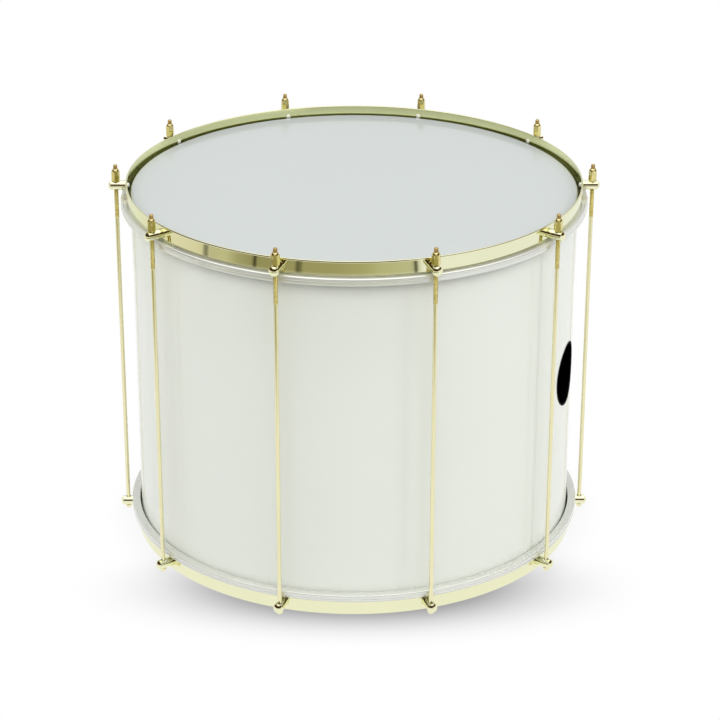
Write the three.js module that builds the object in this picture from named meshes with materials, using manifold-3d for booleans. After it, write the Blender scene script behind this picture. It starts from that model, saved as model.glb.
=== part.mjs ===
// A surdo: a tubular shell with a film head at each end, held by two flat counterhoops
// that full-length tension rods and their tuning nuts draw together.
// Millimetres, +Z up along the drum's axis. The drum stands on the lower hoop at z = 0,
// and azimuth 0 looks out along -Y, midway between two lugs, growing towards +X.
import * as THREE from 'three';
import { mergeVertices } from 'three/addons/utils/BufferGeometryUtils.js';
import Module from 'manifold-3d';

// Shell: a rolled tube whose two edges are curled inwards over a wire.
const shellDiameter = 508;
const shellHeight = 400;
const shellWall = 1.5;
const beadRadius = 2.6;

// Film heads.
const filmThickness = 0.25;
const collarTuck = 3;
const collarRise = 1.3;

// Flesh hoops: the channels that hold the film's edge.
const fleshGap = 1.8;
const fleshWidth = 9.3;
const fleshHeight = 8.6;
const fleshInnerWall = 0.6;
const fleshSlotWidth = 0.9;
const fleshSlotDepth = 5;
const fleshCornerEase = 1.8;
const fleshLipEase = 0.9;
const fleshGrooveDrop = 3.7;
const fleshGrooveWidth = 0.9;
const fleshGrooveDepth = 0.6;

// Counterhoops: flat bands that stand proud of the heads and land on the flesh hoops beside the slot.
const bandLanding = 0.1;
const bandThickness = 2.2;
const bandHeight = 17.2;
const bandStand = 10.6;

// Lug posts, riveted through the bands.
const lugCount = 10;
const postDiameter = 11;
const postReach = 20.5;
const postInset = 9.6;
const postDome = 1.8;
const domeShare = 0.6;
const spigotDiameter = 5;
const rivetHeadDiameter = 6.4;
const rivetHeadHeight = 1;
const seatBoreDiameter = 8.2;
const seatBoreDepth = 1.9;

// Tension rods.
const rodOffset = 12;
const threadDiameter = 5;
const shankDiameter = 4.7;
const threadLength = 63;
const rodTipStand = 4.8;
const rodTipChamfer = 0.8;
const footDiameter = 7.4;
const footHeight = 5.3;
const footShoulder = 1.6;
const footNoseDiameter = 3.2;

// Tuning nuts.
const nutAcrossFlats = 8.4;
const nutHeight = 15.9;
const nutBaseDiameter = 7.4;
const nutUnderRound = 1.4;
const nutCrown = 3.4;
const nutCrownDiameter = 6.4;
const nutGrooveDrop = 5.2;
const nutGrooveWidth = 0.8;
const nutGrooveDepth = 0.45;
// How far each nut stands turned from its lug's direction, as a share of one flat.
const nutTurnShares = [0.17, 0.52, 0.2, 0, 0, 0, 0, 0.33, 0, 0.72];

// Round port in the shell, edged with a trim ring.
const portDiameter = 73;
const portTrimWall = 1.5;
const portFlangeReach = 1.5;
const portLip = 0.5;
// How far round the shell the port lies past the middle of its bay.
const portLead = 2.2;

// Clearances: between pieces that seat on each other, and round pieces that run in a hole.
const seatGap = 0.3;
const runGap = 0.35;
// How far a cutter runs past what it cuts.
const overrun = 5;

// Facets: round the drum, and round the small pieces.
const facetsPerBay = 5;
const postSides = 8;
const boreSides = 6;
const rodSides = 8;
const nutSides = 8;
const hexSides = 6;
const portSides = 18;
const beadSteps = 3;
const filmEdgeSteps = 2;

const shellRadius = shellDiameter / 2;
const ringSides = facetsPerBay * lugCount;
const bayAngle = (2 * Math.PI) / lugCount;
const facetAngle = (2 * Math.PI) / ringSides;
const firstLugAzimuth = bayAngle / 2;
const ringPhase = firstLugAzimuth - facetAngle / 2;
const portAzimuth = firstLugAzimuth + bayAngle + bayAngle / 2 + portLead / shellRadius;
const portTrimBore = portDiameter - 2 * portTrimWall;
const portFlangeDiameter = portDiameter + 2 * portFlangeReach;

const fleshInnerRadius = shellRadius + fleshGap;
const fleshOuterRadius = fleshInnerRadius + fleshWidth;
const slotInnerRadius = fleshInnerRadius + fleshInnerWall;
const slotOuterRadius = slotInnerRadius + fleshSlotWidth;
const filmTuckRadius = slotInnerRadius + (fleshSlotWidth - filmThickness) / 2;
const bandInnerRadius = slotOuterRadius + bandLanding;
const bandOuterRadius = bandInnerRadius + bandThickness;

// Heights in a rim, measured outwards from the shell's edge.
const fleshTop = bandStand - bandHeight - seatGap;
const postHeight = bandStand - postInset;

// Heights in the whole drum.
const lowerEdgeHeight = bandStand;
const upperEdgeHeight = lowerEdgeHeight + shellHeight;
const portHeight = lowerEdgeHeight + shellHeight / 2;
const rodFootTop = postInset - postDiameter / 2 + seatBoreDepth - seatGap;
const rodFoot = rodFootTop - footHeight;
const nutBase = upperEdgeHeight + postHeight + postDiameter / 2 - seatBoreDepth + seatGap;
const rodTip = nutBase + nutHeight + rodTipStand;

// A band's flat facet lies this far from the axis, and the posts sit square on it.
const flatOf = (radius) => radius * Math.cos(facetAngle / 2);
const rodCircleRadius = flatOf(bandOuterRadius) + rodOffset;

const finishes = {
  shell: new THREE.MeshStandardMaterial({ color: 0xe9ebe4, roughness: 0.18, metalness: 0 }),
  film: new THREE.MeshStandardMaterial({ color: 0xdde2df, roughness: 0.35, metalness: 0 }),
  flesh: new THREE.MeshStandardMaterial({ color: 0xcfd1cb, roughness: 0.38, metalness: 0.9 }),
  gold: new THREE.MeshStandardMaterial({ color: 0xe3d79a, roughness: 0.12, metalness: 1 }),
  rod: new THREE.MeshStandardMaterial({ color: 0xd9c588, roughness: 0.25, metalness: 1 }),
  trim: new THREE.MeshStandardMaterial({ color: 0x101010, roughness: 0.6, metalness: 0 }),
};

const wasm = await Module();
wasm.setup();

// One indexed mesh with shared corners and no collapsed triangles.
function weld(geometry) {
  const bare = new THREE.BufferGeometry();
  bare.setAttribute('position', geometry.getAttribute('position').clone());
  bare.setIndex(geometry.getIndex());
  const merged = mergeVertices(bare);
  const corners = merged.getIndex().array;
  const kept = [];
  for (let k = 0; k < corners.length; k += 3) {
    const [a, b, c] = [corners[k], corners[k + 1], corners[k + 2]];
    if (a !== b && b !== c && c !== a) kept.push(a, b, c);
  }
  merged.setIndex(kept);
  return merged;
}

function toSolid(geometry) {
  const welded = weld(geometry);
  return new wasm.Manifold(new wasm.Mesh({
    numProp: 3,
    vertProperties: new Float32Array(welded.getAttribute('position').array),
    triVerts: new Uint32Array(welded.getIndex().array),
  }));
}

function toGeometry(solid) {
  const mesh = solid.getMesh();
  const geometry = new THREE.BufferGeometry();
  geometry.setAttribute('position', new THREE.BufferAttribute(new Float32Array(mesh.vertProperties), 3));
  geometry.setIndex(new THREE.BufferAttribute(new Uint32Array(mesh.triVerts), 1));
  return geometry;
}

// A profile of [radius, height] points turned about Z. The profile runs upwards on its outside.
function turned(profile, sides, phase = 0) {
  const points = profile.map(([radius, height]) => new THREE.Vector2(radius, height));
  return new THREE.LatheGeometry(points, sides, phase).rotateX(Math.PI / 2);
}

// The same about Z with the drum's own facets, closed on itself.
function drumRing(profile) {
  return turned([...profile, profile[0]], ringSides, ringPhase);
}

// Points of a quarter round or any arc, from one angle to another about a centre.
function arc(centreRadius, centreHeight, radius, from, to, steps) {
  const points = [];
  for (let k = 0; k <= steps; k += 1) {
    const angle = from + ((to - from) * k) / steps;
    points.push([centreRadius + radius * Math.cos(angle), centreHeight + radius * Math.sin(angle)]);
  }
  return points;
}

// The corner radius of a polygon whose flats lie at the given radius.
function acrossCorners(flatRadius, sides) {
  return flatRadius / Math.cos(Math.PI / sides);
}

// An upright round bar between two heights, its flats at the given diameter.
function uprightBar(diameter, from, to, sides) {
  const radius = acrossCorners(diameter / 2, sides);
  return turned([[0, from], [radius, from], [radius, to], [0, to]], sides, Math.PI / sides);
}

// A round bar pointing out of the drum at the port, between two distances from the axis.
function portBar(diameter, from, to) {
  return uprightBar(diameter, from, to, portSides)
    .rotateX(Math.PI / 2)
    .rotateZ(portAzimuth)
    .translate(0, 0, portHeight);
}

function drumTube(innerRadius, outerRadius) {
  const from = portHeight - portFlangeDiameter;
  const to = portHeight + portFlangeDiameter;
  return drumRing([[innerRadius, from], [outerRadius, from], [outerRadius, to], [innerRadius, to]]);
}

function piece(name, geometry, material) {
  const mesh = new THREE.Mesh(weld(geometry), material);
  mesh.geometry.computeVertexNormals();
  mesh.name = name;
  return mesh;
}

// The shell: a plain tube between two edges curled inwards, with the port cut through its wall.
function makeShell() {
  const beadCentre = shellRadius - beadRadius;
  const neck = Math.acos((beadRadius - shellWall) / beadRadius);
  const profile = [
    ...arc(beadCentre, lowerEdgeHeight + beadRadius, beadRadius, neck, 2 * Math.PI, beadSteps),
    ...arc(beadCentre, upperEdgeHeight - beadRadius, beadRadius, 0, 2 * Math.PI - neck, beadSteps),
  ];
  const tube = toSolid(drumRing(profile));
  const cut = tube.subtract(toSolid(portBar(portDiameter, 0, shellDiameter)));
  return piece('shell', toGeometry(cut), finishes.shell);
}

// The port's trim: a sleeve through the wall between an outer and an inner flange that follow the shell.
function makePortTrim() {
  const shellInnerRadius = shellRadius - shellWall;
  const [outerSeat, innerSeat] = [shellRadius + seatGap, shellInnerRadius - seatGap];
  const shellBand = (innerRadius, outerRadius, diameter) => toSolid(drumTube(innerRadius, outerRadius))
    .intersect(toSolid(portBar(diameter, 0, shellDiameter)));
  const sleeve = shellBand(innerSeat - portLip, outerSeat + portLip, portDiameter - 2 * seatGap);
  const trim = sleeve
    .add(shellBand(outerSeat, outerSeat + portLip, portFlangeDiameter))
    .add(shellBand(innerSeat - portLip, innerSeat, portFlangeDiameter))
    .subtract(toSolid(portBar(portTrimBore, 0, shellDiameter)));
  return piece('port_trim', toGeometry(trim), finishes.trim);
}

// The film: flat over the shell's edge, then flared down into the flesh hoop's slot.
// Heights here are measured outwards from the shell's edge, as in every piece of a rim.
function makeHead(name) {
  const beadCentre = shellRadius - beadRadius;
  const innerBend = beadRadius + seatGap;
  const outerBend = innerBend + filmThickness;
  const [tuckStart, tuckEnd] = [fleshTop + collarRise, fleshTop - collarTuck];
  const profile = [
    [0, seatGap],
    ...arc(beadCentre, -beadRadius, innerBend, Math.PI / 2, 0, filmEdgeSteps),
    [filmTuckRadius, tuckStart],
    [filmTuckRadius, tuckEnd],
    [filmTuckRadius + filmThickness, tuckEnd],
    [filmTuckRadius + filmThickness, tuckStart],
    ...arc(beadCentre, -beadRadius, outerBend, 0, Math.PI / 2, filmEdgeSteps),
    [0, seatGap + filmThickness],
  ];
  return piece(name, turned(profile, ringSides, ringPhase), finishes.film);
}

// The flesh hoop: a channel with its slot towards the band, eased outer edges and a fine groove.
function makeFleshHoop(name) {
  const bottom = fleshTop - fleshHeight;
  const groove = fleshTop - fleshGrooveDrop;
  const slotFloor = fleshTop - fleshSlotDepth;
  const corner = fleshCornerEase;
  const lip = fleshLipEase;
  const profile = [
    [fleshInnerRadius, bottom],
    [fleshOuterRadius - corner, bottom],
    [fleshOuterRadius, bottom + corner],
    [fleshOuterRadius, groove - fleshGrooveWidth / 2],
    [fleshOuterRadius - fleshGrooveDepth, groove],
    [fleshOuterRadius, groove + fleshGrooveWidth / 2],
    [fleshOuterRadius, fleshTop - lip],
    [fleshOuterRadius - lip, fleshTop],
    [slotOuterRadius, fleshTop],
    [slotOuterRadius, slotFloor],
    [slotInnerRadius, slotFloor],
    [slotInnerRadius, fleshTop],
    [fleshInnerRadius, fleshTop],
  ];
  return piece(name, drumRing(profile), finishes.flesh);
}

// The counterhoop: a flat band, drilled for the posts' spigots.
function makeBand(name) {
  const bottom = bandStand - bandHeight;
  const profile = [
    [bandInnerRadius, bottom],
    [bandOuterRadius, bottom],
    [bandOuterRadius, bandStand],
    [bandInnerRadius, bandStand],
  ];
  let band = toSolid(drumRing(profile));
  const holeDiameter = spigotDiameter + 2 * runGap;
  for (let lug = 0; lug < lugCount; lug += 1) {
    const hole = uprightBar(holeDiameter, bandInnerRadius - overrun, bandOuterRadius + overrun, boreSides)
      .rotateX(Math.PI / 2)
      .rotateZ(lugAzimuth(lug))
      .translate(0, 0, postHeight);
    band = band.subtract(toSolid(hole));
  }
  return piece(name, toGeometry(band), finishes.gold);
}

// A lug post, pointing out along -Y with its middle at height 0: a bar with a domed end, a spigot
// through the band and its riveted head, bored upright for the rod and counterbored at the top.
function makePost(name) {
  const shoulder = flatOf(bandOuterRadius) + seatGap;
  const rivetSeat = flatOf(bandInnerRadius) - seatGap;
  const end = flatOf(bandOuterRadius) + postReach;
  const [radius, spigot, rivet] = [postDiameter, spigotDiameter, rivetHeadDiameter]
    .map((diameter) => acrossCorners(diameter / 2, postSides));
  const profile = [
    [0, rivetSeat - rivetHeadHeight],
    [spigot, rivetSeat - rivetHeadHeight],
    [rivet, rivetSeat],
    [spigot, rivetSeat],
    [spigot, shoulder],
    [radius, shoulder],
    [radius, end - postDome],
    [radius * domeShare, end],
    [0, end],
  ];
  const bar = toSolid(turned(profile, postSides, Math.PI / postSides).rotateX(Math.PI / 2));
  const rodHole = uprightBar(threadDiameter + 2 * runGap, -postDiameter, postDiameter, boreSides)
    .translate(0, -rodCircleRadius, 0);
  const seat = uprightBar(seatBoreDiameter, postDiameter / 2 - seatBoreDepth, postDiameter, nutSides)
    .translate(0, -rodCircleRadius, 0);
  return piece(name, toGeometry(bar.subtract(toSolid(rodHole)).subtract(toSolid(seat))), finishes.gold);
}

// A tension rod: a rounded foot under the lower post, a plain shank and a threaded upper end.
function makeRod(name) {
  const [foot, nose, shank, thread] = [footDiameter, footNoseDiameter, shankDiameter, threadDiameter]
    .map((diameter) => acrossCorners(diameter / 2, rodSides));
  const threadStart = rodTip - threadLength;
  const profile = [
    [0, rodFoot],
    [nose, rodFoot],
    [foot, rodFootTop - footShoulder],
    [foot, rodFootTop],
    [shank, rodFootTop],
    [shank, threadStart],
    [thread, threadStart],
    [thread, rodTip - rodTipChamfer],
    [thread - rodTipChamfer, rodTip],
    [0, rodTip],
  ];
  return piece(name, turned(profile, rodSides, Math.PI / rodSides), finishes.rod);
}

// A tuning nut, its base at height 0: a round seat, six flats with a turned groove, and a tapered crown.
function makeNut(name) {
  const corner = acrossCorners(nutAcrossFlats / 2, hexSides);
  const [base, crown] = [nutBaseDiameter / 2, acrossCorners(nutCrownDiameter / 2, hexSides)];
  const groove = nutHeight - nutGrooveDrop;
  const seat = turned([
    [0, 0],
    [base, 0],
    [base, seatBoreDepth + nutUnderRound],
    [0, seatBoreDepth + nutUnderRound],
  ], nutSides, Math.PI / nutSides);
  const grip = turned([
    [0, seatBoreDepth],
    [base, seatBoreDepth],
    [corner, seatBoreDepth + nutUnderRound],
    [corner, groove - nutGrooveWidth / 2],
    [corner - nutGrooveDepth, groove],
    [corner, groove + nutGrooveWidth / 2],
    [corner, nutHeight - nutCrown],
    [crown, nutHeight],
    [0, nutHeight],
  ], hexSides);
  const bore = uprightBar(threadDiameter + 2 * runGap, -overrun, nutHeight + overrun, boreSides);
  const solid = toSolid(seat).add(toSolid(grip)).subtract(toSolid(bore));
  return piece(name, toGeometry(solid), finishes.gold);
}

function lugAzimuth(lug) {
  return firstLugAzimuth + lug * bayAngle;
}

function lugNumber(lug) {
  return String(lug + 1).padStart(2, '0');
}

// One rim of the drum, its heights measured outwards from the shell's edge.
// The lower rim is the upper one turned over, so its azimuths run the other way.
function makeRim(side, isLower) {
  const rim = new THREE.Group();
  rim.add(makeBand(`${side}_hoop`), makeFleshHoop(`${side}_flesh_hoop`), makeHead(`${side}_head`));
  for (let lug = 0; lug < lugCount; lug += 1) {
    const post = makePost(`${side}_post_${lugNumber(lug)}`);
    post.rotation.z = isLower ? Math.PI - lugAzimuth(lug) : lugAzimuth(lug);
    post.position.z = postHeight;
    rim.add(post);
  }
  rim.position.z = isLower ? lowerEdgeHeight : upperEdgeHeight;
  rim.rotation.x = isLower ? Math.PI : 0;
  return rim;
}

// A rod and its nut stand on the rod circle at each lug.
function makeTension(lug) {
  const azimuth = lugAzimuth(lug);
  const tension = new THREE.Group();
  const nut = makeNut(`tuning_nut_${lugNumber(lug)}`);
  nut.position.z = nutBase;
  nut.rotation.z = (nutTurnShares[lug % nutTurnShares.length] * 2 * Math.PI) / hexSides;
  tension.add(makeRod(`tension_rod_${lugNumber(lug)}`), nut);
  tension.position.set(rodCircleRadius * Math.sin(azimuth), -rodCircleRadius * Math.cos(azimuth), 0);
  tension.rotation.z = azimuth;
  return tension;
}

const surdo = new THREE.Group();
surdo.add(makeShell(), makePortTrim(), makeRim('top', false), makeRim('bottom', true));
for (let lug = 0; lug < lugCount; lug += 1) surdo.add(makeTension(lug));

export default surdo;
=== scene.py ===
"""A dressed surdo: fine surfaces, finishes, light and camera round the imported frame.

Lengths are in metres and angles in radians unless a name says otherwise. The drum stands on
z = 0 with its axis on Z. Azimuth 0 looks out along -Y, midway between two lugs, and grows
towards +X.
"""

from __future__ import annotations

import logging
import math
from dataclasses import dataclass, field
from enum import Enum
from typing import Callable, Sequence

import bmesh
import bpy
import numpy as np
from mathutils import Matrix, Vector

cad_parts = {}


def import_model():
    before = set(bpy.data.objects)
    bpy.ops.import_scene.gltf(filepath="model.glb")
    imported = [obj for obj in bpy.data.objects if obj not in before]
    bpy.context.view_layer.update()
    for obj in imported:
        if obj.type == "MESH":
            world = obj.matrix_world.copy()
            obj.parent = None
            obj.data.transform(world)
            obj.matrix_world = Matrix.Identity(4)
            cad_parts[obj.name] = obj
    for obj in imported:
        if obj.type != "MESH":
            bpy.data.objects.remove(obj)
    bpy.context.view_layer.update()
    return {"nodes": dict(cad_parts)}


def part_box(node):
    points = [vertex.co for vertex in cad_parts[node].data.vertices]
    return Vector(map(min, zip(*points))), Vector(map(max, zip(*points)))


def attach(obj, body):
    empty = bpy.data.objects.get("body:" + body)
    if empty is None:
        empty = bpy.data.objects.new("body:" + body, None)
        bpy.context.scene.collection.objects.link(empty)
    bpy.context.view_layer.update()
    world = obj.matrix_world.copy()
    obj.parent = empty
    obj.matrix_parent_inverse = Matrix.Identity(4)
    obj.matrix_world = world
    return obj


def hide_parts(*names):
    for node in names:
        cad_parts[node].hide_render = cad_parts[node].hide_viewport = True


LOG = logging.getLogger("surdo")
MM = 0.001
FULL_TURN = 2.0 * math.pi
WELD_DISTANCE = 2e-6
NOISE_REACH = (0.25, 0.75)

Array = np.ndarray
Colour = tuple[float, float, float]
Piece = bpy.types.Object
Socket = bpy.types.NodeSocket
Stops = tuple[tuple[float, float], ...]
Value = Socket | float | Sequence[float]


class Body(Enum):
    """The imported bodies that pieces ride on."""

    LOWER_RIM = "lower_rim"
    UPPER_RIM = "upper_rim"
    SHELL = "drum_shell"


class Slot(Enum):
    """The record's material slots."""

    LACQUER = "shell_lacquer"
    FILM = "film"
    ALUMINIUM = "bare_aluminium"
    GOLD = "gold_plate"
    ROD = "rod_plate"
    RUBBER = "port_rubber"


class Side(Enum):
    """The two ends of the drum."""

    TOP = "top"
    BOTTOM = "bottom"


def linear(*display: int) -> Colour:
    """Turns a display colour into the linear one that a shader takes.

    Args:
        display: Red, green and blue, 0 to 255.

    Returns:
        The linear colour: the sRGB curve undone, channel by channel.
    """
    shares = np.array(display) / 255.0
    curved = ((shares + 0.055) / 1.055) ** 2.4
    return tuple(np.where(shares <= 0.04045, shares / 12.92, curved).tolist())


def grey(level: float) -> tuple[float, float, float, float]:
    """An opaque grey for a colour socket."""
    return (level, level, level, 1.0)


def rows_of(*parts: Array | float) -> Array:
    """Sets coordinates side by side, a single number repeated to fill its column."""
    return np.stack(np.broadcast_arrays(*parts), axis=-1)


def round_axis(radius: Array | float, azimuth: Array, height: Array | float) -> Array:
    """Points round the Z axis, at (radius sin azimuth, -radius cos azimuth, height)."""
    return rows_of(radius * np.sin(azimuth), -radius * np.cos(azimuth), height)


def turn_steps(count: int) -> Array:
    """The angles of equal steps round a full turn, from 0."""
    return np.arange(count) * FULL_TURN / count


def quarter(start: tuple[float, float], end: tuple[float, float], parts: int) -> Array:
    """A quarter of an ellipse that leaves its start along the first axis.

    Args:
        start: Its first point.
        end: Its last point.
        parts: Steps from one to the other.

    Returns:
        Rows where the first number goes by the sine of the turn from 0 to a quarter, and the
        second by one less its cosine.
    """
    turn = np.linspace(0.0, math.pi / 2, parts + 1)
    return np.array(start) + np.subtract(end, start) * rows_of(np.sin(turn), 1 - np.cos(turn))


def perimeter(first: Array, second: Array) -> Array:
    """The points round a rectangular grid's edge, from its lowest corner along the first axis.

    Args:
        first: The grid's places along its first axis.
        second: Those along its second.

    Returns:
        Rows of (first, second), each point once.
    """
    return np.concatenate(
        [
            rows_of(first[:-1], second[0]),
            rows_of(first[-1], second[:-1]),
            rows_of(first[:0:-1], second[-1]),
            rows_of(first[0], second[:0:-1]),
        ]
    )


def rounded(corners: Sequence[tuple[float, float, float]], steps: int = 5) -> Array:
    """Rounds the corners of a closed outline.

    Each corner (x, y, radius) becomes an arc that touches both of its sides. A radius of 0
    keeps the corner sharp.

    Args:
        corners: The outline's corners in order, with a radius each.
        steps: Parts in each arc.

    Returns:
        The outline's points, one row each.
    """
    places = np.array([[x, y] for x, y, _ in corners])
    points: list[Array] = []
    for k, (_, _, radius) in enumerate(corners):
        here = places[k]
        if radius <= 0:
            points.append(here[None, :])
            continue
        sides = places[[k - 1, (k + 1) % len(corners)]] - here
        back, ahead = sides / np.linalg.norm(sides, axis=1, keepdims=True)
        half_angle = math.acos(float(np.clip(back @ ahead, -1.0, 1.0))) / 2
        middle = back + ahead
        to_centre = middle / np.linalg.norm(middle) * radius / math.sin(half_angle)
        start, end = [side * radius / math.tan(half_angle) - to_centre for side in (back, ahead)]
        sweep = math.atan2(start[0] * end[1] - start[1] * end[0], float(start @ end))
        turns = np.linspace(0.0, sweep, steps + 1)[:, None]
        square = np.array([-start[1], start[0]])
        points.append(here + to_centre + np.cos(turns) * start + np.sin(turns) * square)
    return np.concatenate(points)


def revolve(profile: Array, columns: int, phase: float = 0.0) -> Array:
    """Carries a profile round the Z axis.

    Args:
        profile: Rows of radius and height.
        columns: Steps in the full turn.
        phase: The first column's azimuth.

    Returns:
        A grid of points, profile rows by columns.
    """
    return round_axis(profile[:, :1], phase + turn_steps(columns), profile[:, 1:])


def turned_about_z(points: Array, azimuth: float) -> Array:
    """Turns points about the Z axis, anticlockwise seen from above."""
    cos, sin = math.cos(azimuth), math.sin(azimuth)
    x, y, z = np.moveaxis(points, -1, 0)
    return rows_of(cos * x - sin * y, sin * x + cos * y, z)


def name_of(kind: str, lug: int) -> str:
    """The name of a repeated node: its kind and its number from 01."""
    return f"{kind}_{lug + 1:02d}"


def in_scene(name: str, data: bpy.types.ID) -> Piece:
    """A new object of the scene that holds a mesh, a lamp or a camera."""
    made = bpy.data.objects.new(name, data)
    bpy.context.scene.collection.objects.link(made)
    return made


@dataclass
class Skin:
    """A surface gathered from grids of points and welded where they meet."""

    name: str
    points: list[Array] = field(default_factory=list)
    faces: list[Array] = field(default_factory=list)
    count: int = 0

    def add_grid(self, grid: Array, close_rows: bool = False, keep: Array | None = None) -> None:
        """Adds a grid of points with a four-sided face in each cell, its columns in a loop.

        Args:
            grid: Points, rows by columns by 3.
            close_rows: Joins the last row to the first.
            keep: True for each cell that gets a face, rows by columns of cells.
        """
        rows, columns = grid.shape[:2]
        number = np.arange(rows * columns).reshape(rows, columns) + self.count
        if close_rows:
            number = np.concatenate([number, number[:1]], axis=0)
        number = np.concatenate([number, number[:, :1]], axis=1)
        cells = rows_of(number[:-1, :-1], number[:-1, 1:], number[1:, 1:], number[1:, :-1])
        self.faces.append(cells.reshape(-1, 4) if keep is None else cells[keep])
        self.points.append(grid.reshape(-1, 3))
        self.count += rows * columns

    def transform(self, change: Callable[[Array], Array]) -> None:
        """Passes every point gathered so far through a change of place."""
        self.points = [change(part) for part in self.points]

    def build(self, finish: "Finish", body: str, node: str, crease: float = 32.0) -> Piece:
        """Makes the object, welds it, shades it, gives it its material and body, and hides its node.

        Args:
            finish: The finish of its material.
            body: The body that it rides on.
            node: The frame's node that it stands for.
            crease: Edges sharper than this many degrees stay sharp.

        Returns:
            The finished object.
        """
        mesh = bpy.data.meshes.new(self.name)
        mesh.from_pydata(np.concatenate(self.points).tolist(), [], np.concatenate(self.faces).tolist())
        welded = bmesh.new()
        welded.from_mesh(mesh)
        bmesh.ops.remove_doubles(welded, verts=welded.verts, dist=WELD_DISTANCE)
        bmesh.ops.recalc_face_normals(welded, faces=welded.faces)
        welded.to_mesh(mesh)
        welded.free()
        mesh.shade_smooth()
        mesh.set_sharp_from_angle(angle=math.radians(crease))
        mesh.materials.append(finish.material())
        piece = in_scene(self.name, mesh)
        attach(piece, body)
        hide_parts(node)
        LOG.info("%s: %d faces on %s", self.name, len(mesh.polygons), body)
        return piece


def dress(piece: Piece, finish: "Finish", chosen: Callable[[Array, Array, Array], Array]) -> None:
    """Gives some faces of a piece a further finish.

    Args:
        piece: The built piece.
        finish: The further finish.
        chosen: Says which faces take it, from each middle's distance from the drum's axis and
            its height, and the cosine of the angle between the face and straight outwards.
    """
    mesh = piece.data
    mesh.materials.append(finish.material())
    read = []
    for label in ("center", "normal"):
        values = np.zeros(len(mesh.polygons) * 3)
        mesh.polygons.foreach_get(label, values)
        read.append(values.reshape(-1, 3))
    middles, normals = read
    radius = np.linalg.norm(middles[:, :2], axis=1)
    outwards = (middles[:, :2] * normals[:, :2]).sum(axis=1) / radius
    indices = np.zeros(len(mesh.polygons), dtype=np.int32)
    mesh.polygons.foreach_get("material_index", indices)
    indices[chosen(radius, middles[:, 2], outwards)] = len(mesh.materials) - 1
    mesh.polygons.foreach_set("material_index", indices)
    mesh.update()


@dataclass(frozen=True)
class Plan:
    """The drum's main sizes, read from the frame's nodes at rest."""

    lug_count: int
    shell_radius: float
    lower_edge: float
    upper_edge: float
    band_outer_radius: float
    flesh_outer_radius: float
    band_height: float
    flesh_top: float
    flesh_height: float
    post_height: float
    post_radius: float
    post_reach: float
    rod_circle_radius: float
    rod_bottom: float
    rod_top: float
    nut_bottom: float
    nut_height: float
    port_height: float
    band_stand: float = 10.6 * MM
    port_lead: float = 2.2 * MM

    @classmethod
    def from_frame(cls, nodes: Sequence[str]) -> "Plan":
        """Reads the sizes from the frame.

        The rings have flat facets with corners on the Y axis, so half a ring's length along Y
        is its true radius.

        Args:
            nodes: The names of the frame's nodes.

        Returns:
            The plan.
        """
        shell_low, shell_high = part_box("shell")
        band_low, band_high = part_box("top_hoop")
        flesh_low, flesh_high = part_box("top_flesh_hoop")
        rod_low, rod_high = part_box("tension_rod_03")
        nut_low, nut_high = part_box("tuning_nut_03")
        post_low, post_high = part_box("top_post_03")
        trim_low, trim_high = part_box("port_trim")
        upper_edge = band_high.z - cls.band_stand
        return cls(
            lug_count=sum(1 for name in nodes if name.startswith("tuning_nut_")),
            shell_radius=(shell_high.y - shell_low.y) / 2,
            lower_edge=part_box("bottom_hoop")[0].z + cls.band_stand,
            upper_edge=upper_edge,
            band_outer_radius=(band_high.y - band_low.y) / 2,
            flesh_outer_radius=(flesh_high.y - flesh_low.y) / 2,
            band_height=band_high.z - band_low.z,
            flesh_top=flesh_high.z - upper_edge,
            flesh_height=flesh_high.z - flesh_low.z,
            post_height=(post_low.z + post_high.z) / 2 - upper_edge,
            post_radius=(post_high.y - post_low.y) / 2,
            post_reach=post_high.x,
            rod_circle_radius=(rod_low.x + rod_high.x) / 2,
            rod_bottom=rod_low.z,
            rod_top=rod_high.z,
            nut_bottom=nut_low.z,
            nut_height=nut_high.z - nut_low.z,
            port_height=(trim_low.z + trim_high.z) / 2,
        )

    @property
    def bay(self) -> float:
        """The angle between two lugs."""
        return FULL_TURN / self.lug_count

    @property
    def port_azimuth(self) -> float:
        """The port sits a little past the middle of the bay between the second and third lug."""
        return 2 * self.bay + self.port_lead / self.shell_radius

    def lug_azimuth(self, lug: int) -> float:
        """The azimuth of a lug, counted from 0."""
        return self.bay * (lug + 0.5)

    def round_port(self, radius: float, sideways: Array, up: Array, lift: Array | float = 0.0) -> Array:
        """Lays flat points round the port onto a cylinder.

        A point s sideways and t up from the port's axis lies at azimuth port + asin(s / radius)
        and height port + t.

        Args:
            radius: The cylinder's radius.
            sideways: How far each point lies to the right.
            up: How far it lies above.
            lift: How far it stands off the cylinder.

        Returns:
            The points.
        """
        azimuth = self.port_azimuth + np.arcsin(sideways / radius)
        return round_axis(radius + lift, azimuth, self.port_height + up)


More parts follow.
